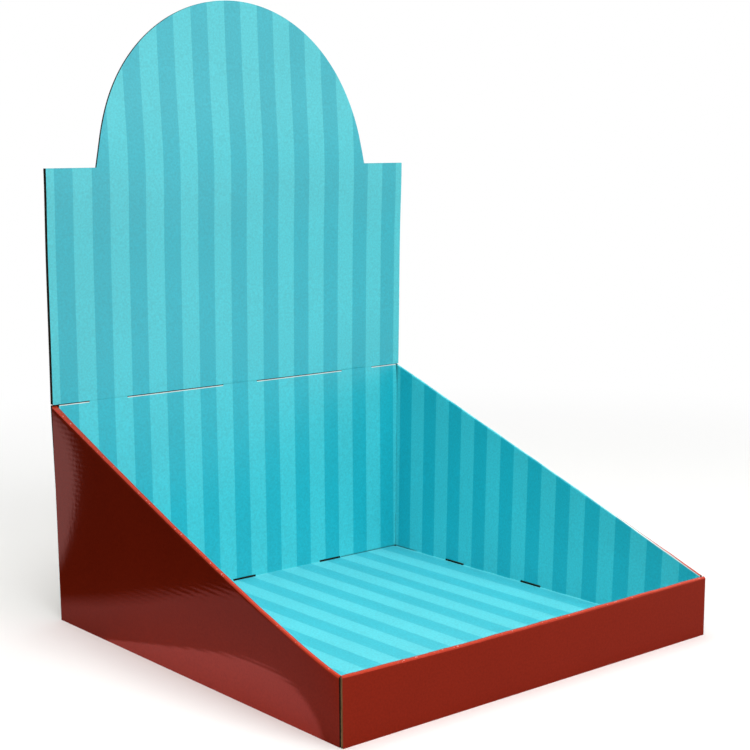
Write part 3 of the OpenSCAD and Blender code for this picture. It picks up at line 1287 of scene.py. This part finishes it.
@dataclass(frozen=True)
class LaminatedPrint:
    """Print under a plastic film: uneven ink, white paper in cracks, painted light and flute ribs.

    Sizes that end in mm are those of the pattern. The grain of the ink is drawn coarser than real
    print dots, so that it shows. A fleck shows where its noise is above a level, which falls from
    fleck_few, where cracks start, to fleck_many on top of a roll.
    """

    name: str
    rough: float
    gloss: float
    cast: str
    ior: float = 1.5
    paper: str = "#f4efe8"
    noise_span: tuple[float, float] = (0.3, 0.7)
    cloud_mm: float = 70.0
    cloud_depth: float = 0.035
    grain_mm: float = 1.3
    grain_depth: float = 0.1
    crease_shade_tone: float = 0.15
    fleck_mm: float = 1.6
    fleck_from: float = 0.6
    fleck_few: float = 0.98
    fleck_many: float = 0.655
    fleck_white: float = 0.3
    highlight_from: float = 0.2
    side_facing: float = 0.7
    peel_mm: float = 3.4
    peel_share: float = 5.0
    relief_mm: float = 0.0035

    def ink(self, tree: bpy.types.NodeTree) -> bpy.types.Node:
        """Adds the nodes of the ink, and gives the one with its colour; each print has its own."""
        raise NotImplementedError

    def bare_share(self, tree: bpy.types.NodeTree) -> bpy.types.Node:
        """Adds the white paper that shows in cracks on the rolls, and white painted highlights.

        Args:
            tree: node tree of the material.

        Returns:
            The node that says how much of the ink gives way to white.
        """
        place = add(tree, "TexCoord").outputs["Object"]
        on_roll = add(tree, "Attribute", attribute_name=Mark.CRACK.value).outputs["Fac"]
        rub = add(tree, "Attribute", attribute_name=Mark.RUB.value).outputs["Fac"]
        flecks = add(tree, "TexNoise", {
            "Vector": place, "Scale": 1 / (self.fleck_mm * MM), "Detail": 2.0})
        level = add(tree, "MapRange", {
            0: on_roll, 1: self.fleck_from, 2: 1.0, 3: self.fleck_few, 4: self.fleck_many})
        cracked = add(tree, "Math", {0: flecks, 1: level}, operation="GREATER_THAN")
        # Painted highlights turn the ink white
        painted_highlight = add(tree, "MapRange", {0: rub, 1: self.highlight_from, 2: 1.0})
        return add(tree, "Math", {0: cracked, 1: self.fleck_white, 2: painted_highlight},
                   operation="MULTIPLY_ADD", use_clamp=True)

    def ribs(self, tree: bpy.types.NodeTree) -> bpy.types.Node:
        """Adds the film's surface: sine ribs of the flutes, and a ripple like orange peel.

        The flutes run up the back and along the side walls, so the ribs follow the width, and the
        height on a face that looks sideways.

        Args:
            tree: node tree of the material.

        Returns:
            The node of the bent normal.
        """
        place = add(tree, "TexCoord").outputs["Object"]
        normal = add(tree, "NewGeometry").outputs["True Normal"]
        spot, facing = (add(tree, "SeparateXYZ", {0: vector}) for vector in (place, normal))
        sideways = add(tree, "Math", {0: facing.outputs["X"]}, operation="ABSOLUTE")
        on_side = add(tree, "Math", {0: sideways, 1: self.side_facing}, operation="GREATER_THAN")
        across = add(tree, "Mix", {0: on_side, 2: spot.outputs["X"], 3: spot.outputs["Z"]})
        turn = add(tree, "Math", {0: across, 1: math.tau / (FLUTE_PITCH * MM)}, operation="MULTIPLY")
        rib = add(tree, "Math", {0: turn}, operation="SINE")
        peel = add(tree, "TexNoise", {
            "Vector": place, "Scale": 1 / (self.peel_mm * MM), "Detail": 2.0})
        height = add(tree, "Math", {0: peel, 1: self.peel_share, 2: rib}, operation="MULTIPLY_ADD")
        return add(tree, "Bump", {"Distance": self.relief_mm * MM, "Height": height})

    def material(self) -> bpy.types.Material:
        """Builds the material: ink darkened by clouds, grain and painted crease shade, then whitened.

        Returns:
            The material.
        """
        material, tree = blank_material(self.name)
        place = add(tree, "TexCoord").outputs["Object"]
        rub = add(tree, "Attribute", attribute_name=Mark.RUB.value).outputs["Fac"]
        # Painted shade: the ink darkens in creases where the mark is below 0
        level = add(tree, "MapRange", {0: rub, 1: -1.0, 2: 0.0, 3: self.crease_shade_tone, 4: 1.0})
        low, high = self.noise_span
        for size, detail, depth in ((self.cloud_mm, 2.0, self.cloud_depth),
                                    (self.grain_mm, 3.0, self.grain_depth)):
            noise = add(tree, "TexNoise", {"Vector": place, "Scale": 1 / (size * MM), "Detail": detail})
            tone = add(tree, "MapRange", {0: noise, 1: low, 2: high, 3: 1 - depth, 4: 1 + depth})
            level = add(tree, "Math", {0: level, 1: tone}, operation="MULTIPLY")
        uneven = add(tree, "VectorMath", {0: self.ink(tree), "Scale": level}, operation="SCALE")
        colour = add(tree, "Mix", {0: self.bare_share(tree), 6: uneven, 7: linear(self.paper)},
                     data_type="RGBA")
        surface = add(tree, "BsdfPrincipled", {
            "Base Color": colour, "Roughness": self.rough, "IOR": self.ior,
            "Specular IOR Level": self.gloss, "Specular Tint": linear(self.cast),
            "Normal": self.ribs(tree)})
        add(tree, "OutputMaterial", {"Surface": surface})
        return material


@dataclass(frozen=True)
class StripedTeal(LaminatedPrint):
    """Satin film over two tones of teal, which look soft and even.

    Painted sheen: a paler tone and fainter stripes on faces that look up, grey at the header's top.
    """

    name: str = "satin_teal_print"
    rough: float = 0.42
    gloss: float = 0.8
    cast: str = "#ffffff"
    light: str = "#43cad4"
    dark: str = "#12b3c2"
    dark_width: float = 13.34
    # Painted sheen: paler, fainter stripes on faces that look up, and grey at the header's top
    flat_facing: tuple[float, float] = (0.6, 0.9)
    base_sheen_fade: float = 0.2
    base_painted_sheen: float = 0.078
    dark_painted_sheen: float = 0.045
    painted_sheen_colour: str = "#e4e4e4"
    top_painted_sheen: float = 0.1
    painted_sheen_grey: str = "#959595"
    painted_sheen_z: tuple[float, float] = (250.0, 340.0)

    def ink(self, tree: bpy.types.NodeTree) -> bpy.types.Node:
        """Adds the stripes: a dark one on the middle of each pitch, under painted sheen.

        Args:
            tree: node tree of the material.

        Returns:
            The node with the colour of the ink.
        """
        # Distance from the middle of a dark stripe, in shares of the pitch
        across = add(tree, "Attribute", attribute_name=Mark.STRIPE.value).outputs["Fac"]
        turns = add(tree, "Math", {0: across, 1: 1 / STRIPE_PITCH, 2: 0.5}, operation="MULTIPLY_ADD")
        saw = add(tree, "Math", {0: turns}, operation="FRACT")
        off = add(tree, "Math", {0: saw, 1: 0.5}, operation="SUBTRACT")
        far = add(tree, "Math", {0: off}, operation="ABSOLUTE")
        half = self.dark_width / STRIPE_PITCH / 2
        is_dark = add(tree, "Math", {0: far, 1: half}, operation="LESS_THAN")

        # Painted sheen: fainter, paler stripes on faces that look up, then grey at the header's top
        normal = add(tree, "NewGeometry").outputs["True Normal"]
        facing = add(tree, "SeparateXYZ", {0: normal}).outputs["Z"]
        low, high = self.flat_facing
        depth = add(tree, "MapRange", {0: facing, 1: low, 2: high, 3: 1.0, 4: 1 - self.base_sheen_fade})
        full = add(tree, "MapRange", {0: is_dark, 3: self.base_painted_sheen, 4: self.dark_painted_sheen})
        pale = add(tree, "MapRange", {0: facing, 1: low, 2: high, 3: 0.0, 4: full})
        place = add(tree, "TexCoord").outputs["Object"]
        height = add(tree, "SeparateXYZ", {0: place}).outputs["Z"]
        low, high = (z * MM for z in self.painted_sheen_z)
        sheen = add(tree, "MapRange", {0: height, 1: low, 2: high, 3: 0.0, 4: self.top_painted_sheen})
        share = add(tree, "Math", {0: is_dark, 1: depth}, operation="MULTIPLY")
        colour = linear(self.light)
        for cover, tone in ((share, self.dark), (pale, self.painted_sheen_colour), (sheen, self.painted_sheen_grey)):
            colour = add(tree, "Mix", {0: cover, 6: colour, 7: linear(tone)}, data_type="RGBA")
        return colour


@dataclass(frozen=True)
class GlossRed(LaminatedPrint):
    """Gloss film over deep red, which mirrors the room with a red cast."""

    name: str = "gloss_red_print"
    rough: float = 0.07
    gloss: float = 1.0
    cast: str = "#ff4f45"
    ior: float = 1.9
    red: str = "#942812"
    # Painted highlight: the brighter red on top of the rolls
    roll_painted_highlight: str = "#a8381c"
    relief_mm: float = 0.006

    def ink(self, tree: bpy.types.NodeTree) -> bpy.types.Node:
        """Adds the red, with a painted highlight: a brighter red on top of the rolls.

        Args:
            tree: node tree of the material.

        Returns:
            The node with the colour of the ink.
        """
        on_roll = add(tree, "Attribute", attribute_name=Mark.CRACK.value).outputs["Fac"]
        return add(tree, "Mix", {0: on_roll, 6: linear(self.red), 7: linear(self.roll_painted_highlight)},
                   data_type="RGBA")


@dataclass(frozen=True)
class RawPaper:
    """Unprinted paper of the board: brown, matt and full of short fibres.

    The fibres are drawn a little thicker than real ones, so that they show.
    """

    name: str
    pale: str
    deep: str
    fibre_mm: float = 1.6
    stretch: float = 0.22
    cloud_mm: float = 45.45
    cloud_share: float = 0.45
    tone_span: tuple[float, float] = (0.5, 0.95)
    relief_mm: float = 0.02
    rough: float = 0.88
    gloss: float = 0.25

    def material(self) -> bpy.types.Material:
        """Builds the material: fibres are noise drawn out along the board's height.

        Returns:
            The material.
        """
        material, tree = blank_material(self.name)
        place = add(tree, "TexCoord").outputs["Object"]
        drawn = add(tree, "VectorMath", {0: place, 1: (1.0, 1.0, self.stretch)}, operation="MULTIPLY")
        fibres = add(tree, "TexNoise", {
            "Vector": drawn, "Scale": 1 / (self.fibre_mm * MM), "Detail": 5.0, "Roughness": 0.65})
        clouds = add(tree, "TexNoise", {
            "Vector": place, "Scale": 1 / (self.cloud_mm * MM), "Detail": 3.0})
        mixed = add(tree, "Math", {0: clouds, 1: self.cloud_share, 2: fibres},
                    operation="MULTIPLY_ADD")
        share = add(tree, "MapRange", {0: mixed, 1: self.tone_span[0], 2: self.tone_span[1]})
        colour = add(tree, "Mix", {0: share, 6: linear(self.deep), 7: linear(self.pale)},
                     data_type="RGBA")
        bump = add(tree, "Bump", {"Distance": self.relief_mm * MM, "Height": fibres})
        surface = add(tree, "BsdfPrincipled", {
            "Base Color": colour, "Roughness": self.rough, "Specular IOR Level": self.gloss,
            "Normal": bump})
        add(tree, "OutputMaterial", {"Surface": surface})
        return material


@dataclass(frozen=True)
class PhotoCamera:
    """Camera of the photograph, from a fit to the object's edges."""

    place: tuple[float, float, float] = (-0.63526, -0.757788, 0.312124)
    turn: tuple[float, float, float] = (79.2296, 0.4298, -39.5032)
    focal_px: float = 1556.49
    centre_px: tuple[float, float] = (359.25, 442.76)
    picture_px: float = 750.0
    sensor_mm: float = 36.0

    def build(self) -> None:
        """Makes the scene's camera; an off-centre picture becomes a shift of the lens."""
        data = bpy.data.cameras.new("camera")
        data.sensor_width = self.sensor_mm
        data.lens = self.focal_px / self.picture_px * self.sensor_mm
        data.shift_x = (self.picture_px / 2 - self.centre_px[0]) / self.picture_px
        data.shift_y = (self.centre_px[1] - self.picture_px / 2) / self.picture_px
        camera = bpy.data.objects.new("camera", data)
        camera.location = self.place
        camera.rotation_euler = [math.radians(angle) for angle in self.turn]
        bpy.context.scene.collection.objects.link(camera)
        bpy.context.scene.camera = camera


@dataclass(frozen=True)
class Softbox:
    """A square studio light that looks at the middle of the object."""

    name: str
    place: tuple[float, float, float]
    size: float
    power: float
    target: tuple[float, float, float] = (0.0, 0.0, 0.15)

    def build(self) -> None:
        """Makes the light."""
        data = bpy.data.lights.new(self.name, "AREA")
        data.size = self.size
        data.energy = self.power
        light = bpy.data.objects.new(self.name, data)
        light.location = self.place
        way = np.array(self.target) - np.array(self.place)
        light.rotation_euler = (math.atan2(math.hypot(way[0], way[1]), -way[2]), 0.0,
                                math.atan2(-way[0], way[1]))
        bpy.context.scene.collection.objects.link(light)


def plane(name: str, corners: list, material: bpy.types.Material) -> bpy.types.Object:
    """Makes a flat face with four corners.

    Args:
        name: name of the object.
        corners: places of the corners, in order.
        material: its material.

    Returns:
        The new object, linked to the scene.
    """
    mesh = bpy.data.meshes.new(name)
    mesh.from_pydata(corners, [], [(0, 1, 2, 3)])
    mesh.materials.append(material)
    made = bpy.data.objects.new(name, mesh)
    bpy.context.scene.collection.objects.link(made)
    return made


@dataclass(frozen=True)
class MirrorCard:
    """A white card that only the gloss film mirrors: a soft-edged ellipse of light.

    It lies in the plane of its centre and its two half axes.
    """

    name: str
    centre: tuple[float, float, float]
    half_a: tuple[float, float, float]
    half_b: tuple[float, float, float]
    strength: float
    soft_share: float
    tint: str = "#ffffff"

    def build(self) -> None:
        """Makes the card; its light fades towards the rim, by the distance in half axes."""
        c, a, b = (np.array(value) for value in (self.centre, self.half_a, self.half_b))
        material, tree = blank_material(self.name)
        place = add(tree, "TexCoord").outputs["Object"]
        off = add(tree, "VectorMath", {0: place, 1: self.centre}, operation="SUBTRACT")
        steps = [add(tree, "VectorMath", {0: off, 1: tuple((half / (half @ half)).tolist())},
                     operation="DOT_PRODUCT") for half in (a, b)]
        way = add(tree, "CombineXYZ", {0: steps[0], 1: steps[1]})
        far = add(tree, "VectorMath", {0: way}, operation="LENGTH")
        fade = add(tree, "MapRange", {0: far, 1: 1 - self.soft_share, 2: 1.0, 3: self.strength, 4: 0.0})
        shine = add(tree, "Emission", {"Color": linear(self.tint), "Strength": fade})
        inside = add(tree, "Math", {0: far, 1: 1.0}, operation="LESS_THAN")
        mix = add(tree, "MixShader", {0: inside, 1: add(tree, "BsdfTransparent"), 2: shine})
        add(tree, "OutputMaterial", {"Surface": mix})
        corners = [corner.tolist() for corner in (c - a - b, c + a - b, c + a + b, c - a + b)]
        card = plane(self.name, corners, material)
        for ray in ("camera", "diffuse", "transmission", "shadow", "volume_scatter"):
            setattr(card, "visible_" + ray, False)


@dataclass
class Studio:
    """Pale floor, white surroundings and soft lights; sizes are in metres."""

    # The floor as it is seen, and how far out it turns white
    floor_half: float = 12.0
    floor_colour: str = "#eeeeec"
    white_r: tuple[float, float] = (0.3, 1.1)

    # The floor as it is mirrored: table, pool of light, two dark edges and the lit room
    table_tone: float = 0.22
    pool_centre: tuple[float, float, float] = (0.016, -0.020, 0.0)
    pool_r: float = 0.2002
    pool_soft: float = 0.003
    pool_tone: float = 0.62
    pool_side: float = -0.145
    edge_way: tuple[float, float, float] = (1.0, -0.156, 0.0)
    edge_span: tuple[float, float] = (-0.2494, -0.2434)
    rear_way: tuple[float, float, float] = (1.0, -1.07, 0.0)
    rear_span: tuple[float, float] = (-0.4, -0.35)
    dark_share: float = 0.01
    lit_way: tuple[float, float, float] = (0.64, -0.77, 0.0)
    lit_span: tuple[float, float] = (0.35, 0.6)
    lit_tone: float = 0.9

    ambient: float = 0.24
    lights: tuple[Softbox, ...] = (
        Softbox("key_light", (0.15, -1.7, 1.5), 1.2, 15.7),
        Softbox("top_light", (0.0, 0.0, 1.9), 1.2, 20.0),
        Softbox("side_light", (1.4, -0.4, 1.2), 1.0, 2.9),
        Softbox("left_light", (-0.9, -1.3, 1.6), 1.2, 20.5),
        Softbox("rear_light", (-0.2, 1.9, 1.4), 1.2, 9.0),
    )
    cards: tuple[MirrorCard, ...] = (
        MirrorCard("rear_card", (-0.19, 0.26, 0.059), (0.031, 0.0, 0.0), (0.0, 0.0, 0.073), 0.58, 0.15,
                   tint="#d8ffff"),
        MirrorCard("front_card", (0.45, -1.0, 0.36), (0.44, 0.24, 0.0), (0.0, 0.0, 0.36), 1.9, 0.5),
        MirrorCard("front_sheet", (0.28, -0.5, 0.004), (0.25, 0.0, 0.0), (0.0, 0.16, 0.0), 5.5, 0.5),
        MirrorCard("roof_card", (0.5, 0.45, 1.9), (1.3, 0.0, 0.0), (0.0, 1.0, 0.0), 1.7, 0.3),
    )

    def mirrored_tone(self, tree: bpy.types.NodeTree, place: bpy.types.NodeSocket) -> bpy.types.Node:
        """Adds the floor that bounced and mirrored light meets.

        It is a grey table with a pale pool of light under the object, a dark room on the left and
        a lit one in front. So the gloss of the left wall shows the pool, the table's edge and the
        dark, and the header takes a pale sheen.

        Args:
            tree: node tree of the floor's material.
            place: the object's own coordinates.

        Returns:
            The node with the floor's tone.
        """
        off = add(tree, "VectorMath", {0: place, 1: self.pool_centre}, operation="DISTANCE")
        disc = add(tree, "MapRange", {0: off, 1: self.pool_r, 2: self.pool_r + self.pool_soft,
                                      3: self.pool_tone, 4: self.table_tone})
        side = add(tree, "SeparateXYZ", {0: place}).outputs["X"]
        beside = add(tree, "Math", {0: side, 1: self.pool_side}, operation="LESS_THAN")
        tone = add(tree, "Mix", {0: beside, 2: self.table_tone, 3: disc})
        for way, span in ((self.edge_way, self.edge_span), (self.rear_way, self.rear_span)):
            along = add(tree, "VectorMath", {0: place, 1: way}, operation="DOT_PRODUCT")
            edge = add(tree, "MapRange", {0: along, 1: span[0], 2: span[1], 3: self.dark_share, 4: 1.0})
            tone = add(tree, "Math", {0: tone, 1: edge}, operation="MULTIPLY")
        ahead = add(tree, "VectorMath", {0: place, 1: self.lit_way}, operation="DOT_PRODUCT")
        lit = add(tree, "MapRange", {0: ahead, 1: self.lit_span[0], 2: self.lit_span[1], 3: 0.0,
                                     4: self.lit_tone}, interpolation_type="SMOOTHSTEP")
        return add(tree, "Math", {0: tone, 1: lit}, operation="MAXIMUM")

    def floor(self) -> None:
        """Lays the floor: it takes the object's shadow nearby and turns white further away."""
        material, tree = blank_material("studio_floor")
        place = add(tree, "TexCoord").outputs["Object"]
        seen = add(tree, "LightPath").outputs["Is Camera Ray"]
        far = add(tree, "VectorMath", {0: place}, operation="LENGTH")
        fade = add(tree, "MapRange", {0: far, 1: self.white_r[0], 2: self.white_r[1]},
                   interpolation_type="SMOOTHSTEP")
        white = add(tree, "Math", {0: fade, 1: seen}, operation="MULTIPLY")
        tone = self.mirrored_tone(tree, place)
        colour = add(tree, "Mix", {0: seen, 6: tone, 7: linear(self.floor_colour)}, data_type="RGBA")
        matt = add(tree, "BsdfDiffuse", {"Color": colour})
        glow = add(tree, "Emission", {"Color": linear("#ffffff"), "Strength": 1.0})
        add(tree, "OutputMaterial", {"Surface": add(tree, "MixShader", {0: white, 1: matt, 2: glow})})
        h = self.floor_half
        floor = plane("floor", [(-h, -h, 0), (h, -h, 0), (h, h, 0), (-h, h, 0)], material)

    def surroundings(self) -> None:
        """Makes the world: white where it is seen or mirrored, and a soft grey light elsewhere."""
        world = bpy.data.worlds.new("studio")
        bpy.context.scene.world = world
        world.use_nodes = True
        tree = world.node_tree
        tree.nodes.clear()
        path = add(tree, "LightPath").outputs
        seen = add(tree, "Math", {0: path["Is Camera Ray"], 1: path["Is Glossy Ray"]},
                   operation="MAXIMUM")
        clear = add(tree, "Math", {0: seen, 1: path["Is Transmission Ray"]}, operation="MAXIMUM")
        level = add(tree, "MapRange", {0: clear, 3: self.ambient, 4: 1.0})
        shine = add(tree, "Background", {"Color": linear("#ffffff"), "Strength": level})
        add(tree, "OutputWorld", {"Surface": shine})

    def build(self) -> None:
        """Builds floor, surroundings, lights and the colour handling of the picture."""
        self.floor()
        self.surroundings()
        for item in self.lights + self.cards:
            item.build()
        bpy.context.scene.view_settings.view_transform = "Standard"


def main() -> None:
    """Builds the rack's looks around the frame, the studio and the camera."""
    logging.basicConfig(level=logging.INFO, format="%(message)s")
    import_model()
    sizes, hand_made = RackSizes.from_frame(), HandMade()
    # Painted shade: cut edges lie in shade between the liners, so their colour is painted nearly black.
    cut = RawPaper("cut_board", "#2c2013", "#171008").material()
    # Fluting shows as a fine wave, a little paler than the edge around it; its dark colour is painted
    # shade.
    fluting = RawPaper("fluting_paper", "#46341f", "#2a1f12", fibre_mm=0.8).material()
    # Bare liner is the light brown of the back and the underside.
    kraft = RawPaper("kraft_liner", "#b8946a", "#95734b").material()
    # Painted shade: the card's hidden face is dark brown, so it shows as a dark line through the slits
    # and slots.
    shaded_card_face = RawPaper("card_face_painted_shade", "#5a4630", "#3d2e1e").material()
    # Satin film keeps the teal soft, and gloss film gives the red its mirrored lights.
    teal, red = StripedTeal().material(), GlossRed().material()
    layers = {Layer.RED: red, Layer.REVERSE: kraft, Layer.CUT: cut, Layer.FLUTE: fluting}
    for assembly, face in ((TraySheet(sizes, hand_made), teal), (StiffenerCard(sizes, hand_made), shaded_card_face)):
        piece = assembly.build({**layers, Layer.FACE: face})
        assembly.dress(piece)
        LOG.info("%s: %d faces", piece.name, len(piece.data.polygons))
    Studio().build()
    PhotoCamera().build()


if __name__ == "__main__":
    main()
